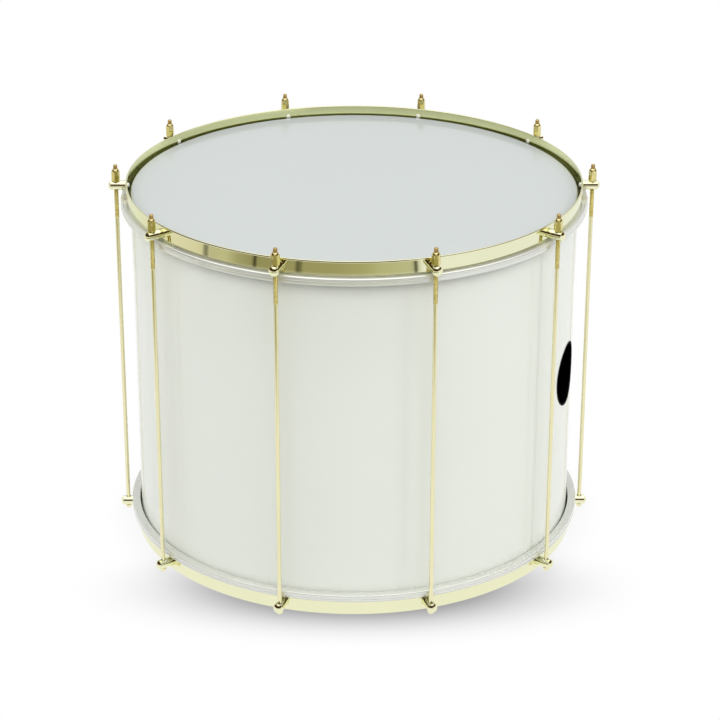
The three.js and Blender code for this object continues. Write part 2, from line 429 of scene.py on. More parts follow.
@dataclass(frozen=True)
class Graph:
    """A node tree with short ways to place its nodes and link them."""

    tree: bpy.types.NodeTree

    def place(self, kind: str, *values: Value, **settings: object) -> bpy.types.Node:
        """Adds a node.

        Args:
            kind: The node's type, without its prefix.
            values: What its first inputs take, in order.
            settings: Its own settings.

        Returns:
            The node.
        """
        node = self.tree.nodes.new(f"ShaderNode{kind}")
        for name, value in settings.items():
            setattr(node, name, value)
        for socket, value in zip(node.inputs, values):
            self.feed(socket, value)
        return node

    def feed(self, socket: Socket, value: Value) -> None:
        """Links a socket to an output, or gives it a plain value."""
        if isinstance(value, Socket):
            self.tree.links.new(value, socket)
        else:
            socket.default_value = value

    def principled(self, constants: dict[str, float | tuple[float, ...]]) -> bpy.types.Node:
        """The material's own shader, with constants set straight on its sockets."""
        shader = self.tree.nodes["Principled BSDF"]
        for label, value in constants.items():
            shader.inputs[label].default_value = value
        return shader

    def math(self, operation: str, *values: Value) -> Socket:
        """A sum or other operation on numbers."""
        return self.place("Math", *values, operation=operation).outputs[0]

    def vector(self, operation: str, *values: Value, out: str = "Vector") -> Socket:
        """An operation on vectors; its result is a vector, or the number named Value."""
        return self.place("VectorMath", *values, operation=operation).outputs[out]

    def split(self, vector: Value) -> tuple[Socket, ...]:
        """A vector's three parts."""
        return tuple(self.place("SeparateXYZ", vector).outputs)

    def join(self, x: Value, y: Value, z: Value) -> Socket:
        """A vector from three parts."""
        return self.place("CombineXYZ", x, y, z).outputs[0]

    def spread(
        self,
        value: Value,
        low: float,
        high: float,
        start: float = 0.0,
        end: float = 1.0,
        smooth: bool = False,
    ) -> Socket:
        """Maps a number from one range onto another and holds it there.

        Args:
            value: The number.
            low: Where the first range starts.
            high: Where it ends.
            start: What low becomes.
            end: What high becomes.
            smooth: Eases both ends.

        Returns:
            The mapped number's socket.
        """
        way = "SMOOTHSTEP" if smooth else "LINEAR"
        node = self.place("MapRange", value, low, high, start, end, interpolation_type=way)
        return node.outputs["Result"]

    def ramp(self, value: Value, stops: Sequence[tuple[float, Colour]]) -> Socket:
        """A colour that runs through stops.

        Args:
            value: The number that picks the colour, from 0 to 1.
            stops: A share and a colour each.

        Returns:
            The colour's socket.
        """
        node = self.place("ValToRGB", value)
        elements = node.color_ramp.elements
        for k, (share, colour) in enumerate(stops):
            element = elements[k] if k < 2 else elements.new(share)
            element.position = share
            element.color = (*colour, 1.0)
        return node.outputs["Color"]

    def levels(self, value: Value, stops: Stops) -> Socket:
        """A grey that runs through stops of (share, level)."""
        return self.ramp(value, [(share, (level,) * 3) for share, level in stops])

    def mix(self, factor: Value, first: Value, second: Value, way: str = "MIX") -> Socket:
        """Blends two colours.

        Args:
            factor: The second one's share.
            first: The first colour.
            second: The second colour.
            way: Blender's name for the way they blend.

        Returns:
            The blend's socket.
        """
        node = self.place("Mix", data_type="RGBA", blend_type=way)
        for label, value in (("Factor", factor), ("A", first), ("B", second)):
            self.feed(node.inputs[label], value)
        return node.outputs["Result"]


@dataclass(frozen=True)
class Effect:
    """A shader node group that several finishes use, with named sockets."""

    name: str
    inputs: dict[str, str]
    output: tuple[str, str]
    work: Callable[[Graph, bpy.types.Node], Socket]

    def group(self) -> bpy.types.NodeTree:
        """Builds the group once and returns it.

        Returns:
            The group: its work's nodes between its named inputs and its output.
        """
        found = bpy.data.node_groups.get(self.name)
        if found:
            return found
        tree = bpy.data.node_groups.new(self.name, "ShaderNodeTree")
        for label, kind in self.inputs.items():
            tree.interface.new_socket(label, in_out="INPUT", socket_type=f"NodeSocket{kind}")
        label, kind = self.output
        tree.interface.new_socket(label, in_out="OUTPUT", socket_type=f"NodeSocket{kind}")
        graph = Graph(tree)
        source, sink = tree.nodes.new("NodeGroupInput"), tree.nodes.new("NodeGroupOutput")
        graph.feed(sink.inputs[label], self.work(graph, source))
        return tree


def grain_field(graph: Graph, source: bpy.types.Node) -> Socket:
    """Fractal noise, stretched along any axis and recentred on 0.

    Args:
        graph: The group's graph.
        source: The node with its inputs.

    Returns:
        The socket of the field, from -1 to 1.
    """
    stretched = graph.vector("MULTIPLY", source.outputs["Vector"], source.outputs["Stretch"])
    noise = graph.place("TexNoise", stretched)
    for label in ("Scale", "Detail"):
        graph.feed(noise.inputs[label], source.outputs[label])
    return graph.spread(noise.outputs[0], *NOISE_REACH, -1.0, 1.0)


def ring_place(graph: Graph, source: bpy.types.Node) -> Socket:
    """Coordinates that follow the drum's rings.

    Args:
        graph: The group's graph.
        source: The node with its inputs.

    Returns:
        The socket of (arc, radius, height), all in metres.
    """
    x, y, z = graph.split(source.outputs["Vector"])
    radius = graph.vector("LENGTH", graph.join(x, y, 0.0), out="Value")
    arc = graph.math("MULTIPLY", graph.math("ARCTAN2", x, y), radius)
    return graph.join(arc, radius, z)


GRAIN = Effect(
    name="grain",
    inputs={"Vector": "Vector", "Scale": "Float", "Stretch": "Vector", "Detail": "Float"},
    output=("Field", "Float"),
    work=grain_field,
)
RING_COORDINATES = Effect(
    name="ring_coordinates", inputs={"Vector": "Vector"}, output=("Ring", "Vector"), work=ring_place
)


@dataclass(frozen=True)
class Finish:
    """A surface finish: one Principled shader with grain in its colour, roughness and height."""

    name: str
    slot: Slot
    colour: Colour
    metallic: float = 0.0
    roughness: float = 0.4
    roughness_spread: float = 0.04
    tint_spread: float = 0.02
    grain_scale: float = 900.0
    grain_stretch: Colour = (1.0, 1.0, 1.0)
    grain_height: float = 0.0
    grain_detail: float = 4.0
    mottle_scale: float = 9.0
    mottle_detail: float = 2.0
    follows_ring: bool = False
    specular: float = 0.5
    ior: float = 1.5

    def material(self) -> bpy.types.Material:
        """Builds the material once and returns it.

        Returns:
            The material, with fine grain in its height and roughness and a slow mottle in
            its colour.
        """
        found = bpy.data.materials.get(self.name)
        if found:
            return found
        made = bpy.data.materials.new(self.name)
        made.use_nodes = True
        graph = Graph(made.node_tree)
        shader = graph.principled(
            {"Metallic": self.metallic, "Specular IOR Level": self.specular, "IOR": self.ior}
        )
        place = graph.place("TexCoord").outputs["Object"]
        if self.follows_ring:
            place = graph.place("Group", place, node_tree=RING_COORDINATES.group()).outputs["Ring"]
        grain = (self.grain_scale, self.grain_stretch, self.grain_detail)
        mottle = (self.mottle_scale, (1.0, 1.0, 1.0), self.mottle_detail)
        fine, slow = [
            graph.place("Group", place, *values, node_tree=GRAIN.group()).outputs["Field"]
            for values in (grain, mottle)
        ]
        darker, lighter = [
            tuple(min(1.0, v * (1 + sign * self.tint_spread)) for v in self.colour) for sign in (-1, 1)
        ]
        tint = graph.ramp(graph.spread(slow, -1.0, 1.0), [(0.0, darker), (1.0, lighter)])
        graph.feed(shader.inputs["Base Color"], tint)
        both = graph.math("ADD", fine, slow)
        rough = graph.math("MULTIPLY_ADD", both, self.roughness_spread / 2, self.roughness)
        graph.feed(shader.inputs["Roughness"], rough)
        if self.grain_height > 0:
            bump = graph.place("Bump")
            graph.feed(bump.inputs["Distance"], self.grain_height)
            graph.feed(bump.inputs["Height"], fine)
            graph.feed(shader.inputs["Normal"], bump.outputs["Normal"])
        return made


LACQUER = Finish(
    "white_lacquer", Slot.LACQUER, linear(232, 235, 226), roughness=0.08, roughness_spread=0.02,
    tint_spread=0.006, grain_scale=260.0, grain_height=2e-6, mottle_scale=4.0,
)
# Near-black inner face of the shell: painted shade for the dark inside of the drum, seen through the port.
INNER_SHEET_SHADE = Finish(
    "inner_sheet_painted_shade", Slot.LACQUER, linear(50, 50, 49), roughness=0.7, roughness_spread=0.1,
    tint_spread=0.08, grain_scale=500.0, grain_height=1e-5, specular=0.2,
)
FILM = Finish(
    "milky_film", Slot.FILM, linear(197, 203, 201), roughness=0.14, roughness_spread=0.03,
    tint_spread=0.008, grain_scale=700.0, grain_height=2e-6, mottle_scale=5.0, ior=1.6,
)
# Clear film of the collar in a dark olive colour: painted shade for the groove between the band and the
# head.
SHADED_COLLAR_FILM = Finish(
    "collar_film_painted_shade", Slot.FILM, linear(104, 109, 74), roughness=0.12, roughness_spread=0.02,
    tint_spread=0.05, grain_scale=700.0, ior=1.6,
)
ALUMINIUM = Finish(
    "satin_aluminium", Slot.ALUMINIUM, linear(226, 228, 221), metallic=0.55, roughness=0.2,
    grain_scale=2200.0, grain_stretch=(0.004, 1.0, 1.0), grain_height=2e-6, follows_ring=True,
)
GOLD = Finish(
    "pale_gold_plate", Slot.GOLD, linear(238, 238, 200), metallic=1.0, roughness=0.035,
    roughness_spread=0.02, tint_spread=0.015, grain_scale=420.0, grain_height=1e-6,
    mottle_scale=14.0,
)
# Painted reflection tint: a brighter, greener copy of the gold plate for the band's inner face.
TINTED_INSIDE_GOLD = Finish(
    "painted_tint_gold_inside", Slot.GOLD, linear(250, 252, 196), metallic=1.0, roughness=0.1,
    roughness_spread=0.03, grain_scale=420.0, mottle_scale=14.0,
)
# Near-white, half-diffuse copy of the post's plating on the rivet heads: a painted highlight.
RIVET_HIGHLIGHT = Finish(
    "rivet_painted_highlight", Slot.GOLD, linear(246, 246, 232), metallic=0.35, roughness=0.16,
    mottle_scale=200.0,
)
NUT_PLATE = Finish(
    "worn_gold_nut", Slot.GOLD, linear(228, 216, 150), metallic=1.0, roughness=0.1,
    roughness_spread=0.08, tint_spread=0.12, grain_scale=520.0, grain_height=1.4e-5,
    mottle_scale=240.0,
)
ROD_PLATE = Finish(
    "pale_gold_rod", Slot.ROD, linear(240, 234, 192), metallic=1.0, roughness=0.2,
    roughness_spread=0.06, tint_spread=0.03, grain_stretch=(1.0, 1.0, 0.03), grain_height=2e-6,
    mottle_scale=22.0,
)
THREAD_PLATE = Finish(
    "rolled_thread", Slot.ROD, linear(240, 228, 154), metallic=1.0, roughness=0.26,
    roughness_spread=0.08, tint_spread=0.08, mottle_scale=120.0,
)
DULL_TIP = Finish(
    "dull_rod_tip", Slot.ROD, linear(196, 170, 112), metallic=1.0, roughness=0.3,
    roughness_spread=0.08, tint_spread=0.12, mottle_scale=300.0,
)
RUBBER = Finish(
    "black_rubber", Slot.RUBBER, linear(4, 4, 4), roughness=0.7, roughness_spread=0.08,
    tint_spread=0.1, grain_scale=1400.0, grain_height=1e-5, mottle_scale=60.0, specular=0.04,
)


@dataclass
class Shell:
    """The drum's shell: a rolled tube with inward beads and a round port."""

    plan: Plan
    wall: float = 1.5 * MM
    bead_radius: float = 2.6 * MM
    port_hole_radius: float = 36.6 * MM
    inner_shade_share: float = 0.9
    columns: int = 360
    patch_half: int = 10
    patch_rings: int = 4
    far_rows: int = 24
    bead_rows: int = 42

    def wall_with_port(self, skin: Skin, radius: float, low: float, high: float) -> Array:
        """Adds one face of the wall with its round hole.

        A square stretch of the wall holds the port, and the stretch round the hole is a ring
        of cells between the circle and that square, both laid on the cylinder.

        Args:
            skin: The surface that takes the grids.
            radius: The face's radius.
            low: Its lowest height.
            high: Its highest.

        Returns:
            The points of the hole's edge.
        """
        plan, half = self.plan, self.patch_half
        step = FULL_TURN / self.columns
        span = plan.shell_radius * half * step
        start, end = plan.port_height - span, plan.port_height + span
        heights = np.concatenate(
            [
                np.linspace(low, start, self.far_rows),
                np.linspace(start, end, 2 * half + 1)[1:-1],
                np.linspace(end, high, self.far_rows),
            ]
        )
        keep = np.ones((len(heights) - 1, self.columns), bool)
        first_row = self.far_rows - 1
        keep[first_row : first_row + 2 * half, np.arange(-half, half)] = False
        skin.add_grid(revolve(rows_of(radius, heights), self.columns, plan.port_azimuth), keep=keep)

        along = np.arange(-half, half + 1)
        sides = perimeter(along, along)
        square = rows_of(radius * np.sin(sides[:, 0] * step), sides[:, 1] * span / half)
        bearing = np.arctan2(sides[:, 1], sides[:, 0])
        circle = self.port_hole_radius * rows_of(np.cos(bearing), np.sin(bearing))
        share = np.linspace(0.0, 1.0, self.patch_rings + 1)[:, None, None]
        flat = circle * (1 - share) + square * share
        ring = plan.round_port(radius, flat[..., 0], flat[..., 1])
        skin.add_grid(ring)
        return ring[0]

    def bead(self, edge: float, sign: float) -> Array:
        """The bead's profile: an arc from the wall's outer face round to its inner face.

        Args:
            edge: The height of the shell's edge.
            sign: 1 at the upper edge and -1 at the lower.

        Returns:
            Rows of radius and height.
        """
        inner_end = math.acos((self.bead_radius - self.wall) / self.bead_radius)
        turn = np.linspace(0.0, FULL_TURN - inner_end, self.bead_rows)
        centre = (self.plan.shell_radius - self.bead_radius, edge - sign * self.bead_radius)
        return np.array(centre) + self.bead_radius * rows_of(np.cos(turn), sign * np.sin(turn))

    def build(self) -> None:
        """Builds the shell, bare sheet on its inner face, coloured near black as painted shade for the
        unlit inside of the drum.
        """
        plan = self.plan
        skin = Skin("shell_tube")
        upper, lower = self.bead(plan.upper_edge, 1.0), self.bead(plan.lower_edge, -1.0)
        outer_edge = self.wall_with_port(skin, plan.shell_radius, lower[0, 1], upper[0, 1])
        inner_radius = plan.shell_radius - self.wall
        inner_edge = self.wall_with_port(skin, inner_radius, lower[-1, 1], upper[-1, 1])
        skin.add_grid(np.stack([outer_edge, inner_edge]))
        for bead in (upper, lower):
            skin.add_grid(revolve(bead, self.columns, plan.port_azimuth))
        piece = skin.build(LACQUER, Body.SHELL.value, "shell")
        # The inner face takes the near-black colour: painted shade.
        reach = plan.shell_radius - self.inner_shade_share * self.wall
        dress(piece, INNER_SHEET_SHADE, lambda radius, _, outwards: (outwards < 0) & (radius < reach))


@dataclass
class PortTrim:
    """The rubber edge of the port: a channel that grips the wall on both faces."""

    shell: Shell
    bore_radius: float = 35.2 * MM
    flange: float = 0.8 * MM
    lip: float = 0.4 * MM
    lip_round: float = 0.2 * MM
    fit: float = 0.05 * MM
    columns: int = 120

    def build(self) -> None:
        """Builds the trim.

        Its section is a channel in (distance from the port's axis, height over the shell),
        carried round the axis and laid on the cylinder of the shell.
        """
        plan, wall, hole = self.shell.plan, self.shell.wall, self.shell.port_hole_radius
        bore, outer, fit = self.bore_radius, hole + self.flange, self.fit
        section = rounded(
            [
                (bore, self.lip, self.lip_round),
                (bore, -wall - self.lip, self.lip_round),
                (outer, -wall - self.lip, self.lip_round),
                (outer, -wall - fit, 0.0),
                (hole - fit, -wall - fit, 0.0),
                (hole - fit, fit, 0.0),
                (outer, fit, 0.0),
                (outer, self.lip, self.lip_round),
            ]
        )
        bearing = turn_steps(self.columns)
        away, lift = section[:, :1], section[:, 1:]
        sideways, up = away * np.cos(bearing), away * np.sin(bearing)
        grid = plan.round_port(plan.shell_radius, sideways, up, lift)
        skin = Skin("port_edge")
        skin.add_grid(grid, close_rows=True)
        skin.build(RUBBER, Body.SHELL.value, "port_trim")


@dataclass
class Rim:
    """One end of the drum: the film, its flesh hoop and the counterhoop.

    Heights in a rim are measured outwards from the shell's edge, and the lower rim is the
    upper one turned over.
    """

    plan: Plan
    side: Side
    columns: int = 720

    @property
    def body(self) -> str:
        """The body that this end's hoops ride on."""
        return (Body.UPPER_RIM if self.side is Side.TOP else Body.LOWER_RIM).value

    def put(self, points: Array) -> Array:
        """Takes points from the rim's own heights to the whole drum."""
        if self.side is Side.TOP:
            return points + np.array([0.0, 0.0, self.plan.upper_edge])
        return points * np.array([1.0, -1.0, -1.0]) + np.array([0.0, 0.0, self.plan.lower_edge])

    def ring(self, name: str, outline: Array, finish: Finish, node: str) -> Piece:
        """Carries a closed outline of radius and height round the drum as one piece.

        Args:
            name: The piece's name, after its side.
            outline: The outline's rows.
            finish: Its finish.
            node: The node that it stands for, after its side.

        Returns:
            The piece.
        """
        skin = Skin(f"{self.side.value}_{name}")
        skin.add_grid(revolve(outline, self.columns), close_rows=True)
        skin.transform(self.put)
        return skin.build(finish, self.body, f"{self.side.value}_{node}")

    def build(self) -> None:
        """Builds the rim's three pieces."""
        for piece in (FilmHead(self), FleshHoop(self), CounterHoop(self)):
            piece.build()


@dataclass
class FilmHead:
    """The film: flat inside the bearing edge, rolled over it and flared into the flesh hoop."""

    rim: Rim
    thickness: float = 0.25 * MM
    seat_gap: float = 0.3 * MM
    tuck: float = 3.0 * MM
    collar_rise: float = 1.3 * MM
    bead: float = 2.6 * MM
    painted_shade_bend: float = math.radians(50.0)
    bend_rows: int = 13
    rings: int = 24
    columns: int = 360

    def build(self) -> None:
        """Builds the film as one closed skin, milky inside its bend and clear beyond it, the clear part
        coloured dark olive as painted shade for the groove under the band.
        """
        plan, rim, gap = self.rim.plan, self.rim, self.seat_gap
        bead_radius = plan.shell_radius - self.bead
        turn = np.linspace(math.pi / 2, 0.0, self.bend_rows)
        circle = rows_of(np.cos(turn), np.sin(turn))
        reaches = [self.bead + gap, self.bead + gap + self.thickness]
        inside, outside = [np.array([bead_radius, -self.bead]) + reach * circle for reach in reaches]
        slot = plan.shell_radius + FleshHoop.shell_gap + FleshHoop.inner_wall
        tuck_radius = slot + (FleshHoop.slot_width - self.thickness) / 2
        start, end = plan.flesh_top + self.collar_rise, plan.flesh_top - self.tuck
        face = rows_of(tuck_radius, [start, end])
        collar = np.concatenate([face, face[::-1] + np.array([self.thickness, 0.0])])
        flat = np.linspace(0.0, 1.0, self.rings)[:-1] * bead_radius
        under, over = rows_of(flat, gap), rows_of(flat[::-1], gap + self.thickness)
        skin = Skin(f"{rim.side.value}_film")
        profile = np.concatenate([under, inside, collar, outside[::-1], over])
        skin.add_grid(revolve(profile, self.columns))
        skin.transform(rim.put)
        piece = skin.build(FILM, Body.SHELL.value, f"{rim.side.value}_head")
        # Past this point of the bend the film takes the dark collar colour: painted shade.
        edge = bead_radius + reaches[1] * math.cos(self.painted_shade_bend)
        dress(piece, SHADED_COLLAR_FILM, lambda radius, *_: radius > edge)


@dataclass
class FleshHoop:
    """The channel that holds the film: slotted towards the counterhoop, rounded outside."""

    rim: Rim
    shell_gap: float = 1.8 * MM
    inner_wall: float = 0.6 * MM
    slot_width: float = 0.9 * MM
    slot_depth: float = 5.0 * MM
    foot_round: float = 0.3 * MM
    far_round: float = 1.6 * MM
    near_round: float = 2.6 * MM
    lip_round: float = 0.1 * MM
    groove_drop: float = 3.7 * MM
    groove_width: float = 0.9 * MM
    groove_depth: float = 0.6 * MM
    groove_edge: float = 0.15 * MM
    groove_round: float = 0.12 * MM
    round_parts: int = 6

    def build(self) -> None:
        """Builds the hoop from its closed outline."""
        plan = self.rim.plan
        top, bottom = plan.flesh_top, plan.flesh_top - plan.flesh_height
        inner, outer = plan.shell_radius + self.shell_gap, plan.flesh_outer_radius
        slot_inner = inner + self.inner_wall
        slot_outer = slot_inner + self.slot_width
        slot_bottom = top - self.slot_depth
        groove, half = top - self.groove_drop, self.groove_width / 2
        outline = rounded(
            [
                (inner, bottom, self.foot_round),
                (outer, bottom, self.far_round),
                (outer, groove - half, self.groove_edge),
                (outer - self.groove_depth, groove, self.groove_round),
                (outer, groove + half, self.groove_edge),
                (outer, top, self.near_round),
                (slot_outer, top, self.lip_round),
                (slot_outer, slot_bottom, 0.0),
                (slot_inner, slot_bottom, 0.0),
                (slot_inner, top, self.lip_round),
                (inner, top, self.lip_round),
            ],
            steps=self.round_parts,
        )
        self.rim.ring("flesh_channel", outline, ALUMINIUM, "flesh_hoop")


@dataclass
class CounterHoop:
    """The flat band that stands proud of the head."""

    rim: Rim
    thickness: float = 2.2 * MM
    edge_round: float = 0.7 * MM
    ease_down: float = 2.3 * MM
    ease_in: float = 0.9 * MM
    ease_parts: int = 11
    inward_cosine: float = -0.5

    def build(self) -> None:
        """Builds the band from its closed outline; its outer top edge is a quarter ellipse."""
        outer = self.rim.plan.band_outer_radius
        inner = outer - self.thickness
        top = self.rim.plan.band_stand
        bottom, edge = top - self.rim.plan.band_height, self.edge_round
        eased = quarter((top - self.ease_down, outer), (top, outer - self.ease_in), self.ease_parts)
        corners = [(inner, bottom, edge), (outer, bottom, edge)]
        corners += [(radius, height, 0.0) for height, radius in eased]
        corners += [(inner, top, edge)]
        piece = self.rim.ring("band", rounded(corners), GOLD, "hoop")
        # The inner face takes the brighter, greener gold: a painted reflection tint.
        dress(piece, TINTED_INSIDE_GOLD, lambda _, height, outwards: outwards < self.inward_cosine)


@dataclass
class Post:
    """A lug post: a round bar riveted through the band, bored upright for its rod."""

    plan: Plan
    spigot_radius: float = 2.5 * MM
    rivet_radius: float = 3.0 * MM
    rivet_height: float = 1.7 * MM
    shoulder_round: float = 0.4 * MM
    dome: float = 2.6 * MM
    seat_radius: float = 4.1 * MM
    seat_depth: float = 1.9 * MM
    bore_radius: float = 2.8 * MM
    half_turn_steps: int = 36
    window_steps: int = 14
    window_rows: int = 8
    window_half: float = 4.8 * MM
    window_rings: int = 3
    rivet_parts: int = 5
    shoulder_parts: int = 4
    cap_rows: int = 14

    @property
    def band_inner(self) -> float:
        """The radius of the band's inner face, where the rivet starts."""
        return self.plan.band_outer_radius - CounterHoop.thickness

    def straight_rows(self) -> Array:
        """Distances along the bar of the rows that hold the bores' window."""
        centre = self.plan.rod_circle_radius
        return np.linspace(centre - self.window_half, centre + self.window_half, self.window_rows + 1)

    def profile(self) -> tuple[Array, int]:
        """The bar's outline as (radius, distance from the drum's axis).

        The rivet and the shoulder are quarter ellipses and the domed end is a parabola.

        Returns:
            The outline from the rivet's crown to the domed end, and the number of the
            window's first row.
        """
        inner, outer = self.band_inner, self.plan.band_outer_radius
        bar, shoulder = self.plan.post_radius, self.shoulder_round
        before = np.concatenate(
            [
                quarter((0.0, inner - self.rivet_height), (self.rivet_radius, inner), self.rivet_parts),
                [[self.spigot_radius, inner], [self.spigot_radius, outer]],
                quarter((bar - shoulder, outer), (bar, outer + shoulder), self.shoulder_parts),
            ]
        )
        share = np.linspace(1.0, 0.0, self.cap_rows)
        cap = rows_of(bar * share, self.plan.post_reach - self.dome * share**2)
        return np.concatenate([before, rows_of(bar, self.straight_rows()), cap]), len(before)

    def between(self, hole: tuple[Array, Array], edge: Array, sign: float) -> Array:
        """Rows of points on the bar's round face, from a hole's edge to the window's.

        The bar's axis is Y turned outwards, so the height is the root of the radius squared
        less the sideways place squared, up or down.

        Args:
            hole: How far sideways and how far out each point of the hole's edge lies.
            edge: The window's edge as rows of turn from the top and distance out.
            sign: 1 on the bar's upper side and -1 on its lower.

        Returns:
            A grid of points, rows by points of the edge.
        """
        side, out = hole
        bar = self.plan.post_radius
        share = np.linspace(0.0, 1.0, self.window_rings + 1)[:, None]
        turns = np.arcsin(np.clip(side / bar, -1.0, 1.0)) * (1 - share) + edge[:, 0] * share
        sideways = bar * np.sin(turns)
        height = sign * np.sqrt(np.maximum(bar**2 - sideways**2, 0.0))
        return rows_of(sideways, -(out * (1 - share) + edge[:, 1] * share), height)

    def skin(self, name: str) -> Skin:
        """The post's surface in its own place: pointing out along -Y, centred on height 0.

        Args:
            name: The piece's name.

        Returns:
            The bar with a window on either side of the rod, each filled round its hole, and
            the rod's seat and bore between them.
        """
        skin = Skin(name)
        profile, first = self.profile()
        half, steps = self.window_steps, 2 * self.half_turn_steps
        turn = turn_steps(steps)
        keep = np.ones((len(profile) - 1, steps), bool)
        for centre in (0, self.half_turn_steps):
            keep[first : first + self.window_rows, np.arange(centre - half, centre + half)] = False
        radius = profile[:, :1]
        skin.add_grid(rows_of(radius * np.sin(turn), -profile[:, 1:], radius * np.cos(turn)), keep=keep)

        turns = np.arange(-half, half + 1) * math.pi / self.half_turn_steps
        edge = perimeter(turns, self.straight_rows())
        bar, middle = self.plan.post_radius, self.plan.rod_circle_radius
        bearing = np.arctan2(edge[:, 0] / turns[-1], (edge[:, 1] - middle) / self.window_half)
        seat_height = bar - self.seat_depth
        reach = math.sqrt(bar**2 - seat_height**2)
        seat, bore = [
            (radius * np.sin(bearing), middle + radius * np.cos(bearing))
            for radius in (self.seat_radius, self.bore_radius)
        ]
        seat = (np.clip(seat[0], -reach, reach), seat[1])
        top, under = self.between(seat, edge, 1.0), self.between(bore, edge, -1.0)
        floor, mouth = [rows_of(side, -out, seat_height) for side, out in (seat, bore)]
        for grid in (top, np.stack([top[0], floor, mouth, under[0]]), under):
            skin.add_grid(grid)
        return skin


@dataclass
class Posts:
    """All the lug posts of both ends."""

    plan: Plan

    def build(self) -> None:
        """Builds each post at its lug, those of the lower end turned over."""
        post = Post(self.plan)
        lift = np.array([0.0, 0.0, self.plan.post_height])
        for side in Side:
            rim = Rim(self.plan, side)
            for lug in range(self.plan.lug_count):
                azimuth = self.plan.lug_azimuth(lug)
                own = azimuth if side is Side.TOP else math.pi - azimuth
                skin = post.skin(name_of(f"{side.value}_lug_post", lug))
                skin.transform(lambda points, turn=own: rim.put(turned_about_z(points, turn) + lift))
                piece = skin.build(GOLD, rim.body, name_of(f"{side.value}_post", lug))
                # The rivet heads take the near-white colour: a painted highlight.
                dress(piece, RIVET_HIGHLIGHT, lambda radius, *_: radius < post.band_inner)


@dataclass
class Rod:
    """A tension rod: rounded foot, plain shank and a real helical thread."""

    plan: Plan
    shank_radius: float = 2.35 * MM
    shank_start: float = 1.0 * MM
    shank_end: float = 0.2 * MM
    shank_rows: int = 12
    crest_radius: float = 2.5 * MM
    root_radius: float = 2.05 * MM
    pitch: float = 0.8 * MM
    thread_length: float = 63.0 * MM
    foot_radius: float = 3.7 * MM
    nose_radius: float = 1.6 * MM
    foot_height: float = 5.3 * MM
    ball_share: float = 0.7
    ball_parts: int = 8
    foot_ease: float = 0.4 * MM
    chamfer: float = 0.8 * MM
    start_rise: float = 0.15 * MM
    columns: int = 18
    rows_per_turn: int = 6

    @property
    def thread_low(self) -> float:
        """The height where the thread starts."""
        return self.plan.rod_top - self.thread_length

    def skin(self, name: str) -> Skin:
        """The rod's surface about its own axis.

        The thread's radius follows a cosine between crest and root, by the share of a turn
        left over from height / pitch less azimuth / full turn, and starts from a full collar.

        Args:
            name: The piece's name.

        Returns:
            The surface: foot, shank, thread and tip in one grid.
        """
        low, high, thread_low = self.plan.rod_bottom, self.plan.rod_top, self.thread_low
        foot, ease, foot_top = self.foot_radius, self.foot_ease, low + self.foot_height
        ball_top = low + self.ball_share * self.foot_height
        shank = np.linspace(foot_top + self.shank_start, thread_low - self.shank_end, self.shank_rows)
        plain = np.concatenate(
            [
                [[0.0, low]],
                quarter((self.nose_radius, low), (foot, ball_top), self.ball_parts),
                [[foot, foot_top - ease], [foot - ease, foot_top]],
                rows_of(self.shank_radius, [foot_top, *shank, thread_low]),
            ]
        )
        rows = int(self.rows_per_turn * self.thread_length / self.pitch)
        height = np.linspace(thread_low + self.start_rise, high, rows)[:, None]
        azimuth = turn_steps(self.columns)
        wave = (1 + np.cos(FULL_TURN * height / self.pitch - azimuth)) / 2
        cut = self.root_radius + (self.crest_radius - self.root_radius) * wave
        fade = np.clip((height - thread_low) / (2 * self.pitch), 0.0, 1.0)
        radius = self.crest_radius * (1 - fade) + cut * fade
        radius = np.minimum(radius, self.crest_radius - self.chamfer + (high - height))
        thread = round_axis(radius, azimuth, height)
        tip = round_axis(0.0, azimuth[None, :], high)
        skin = Skin(name)
        skin.add_grid(np.concatenate([revolve(plain, self.columns), thread, tip]))
        return skin


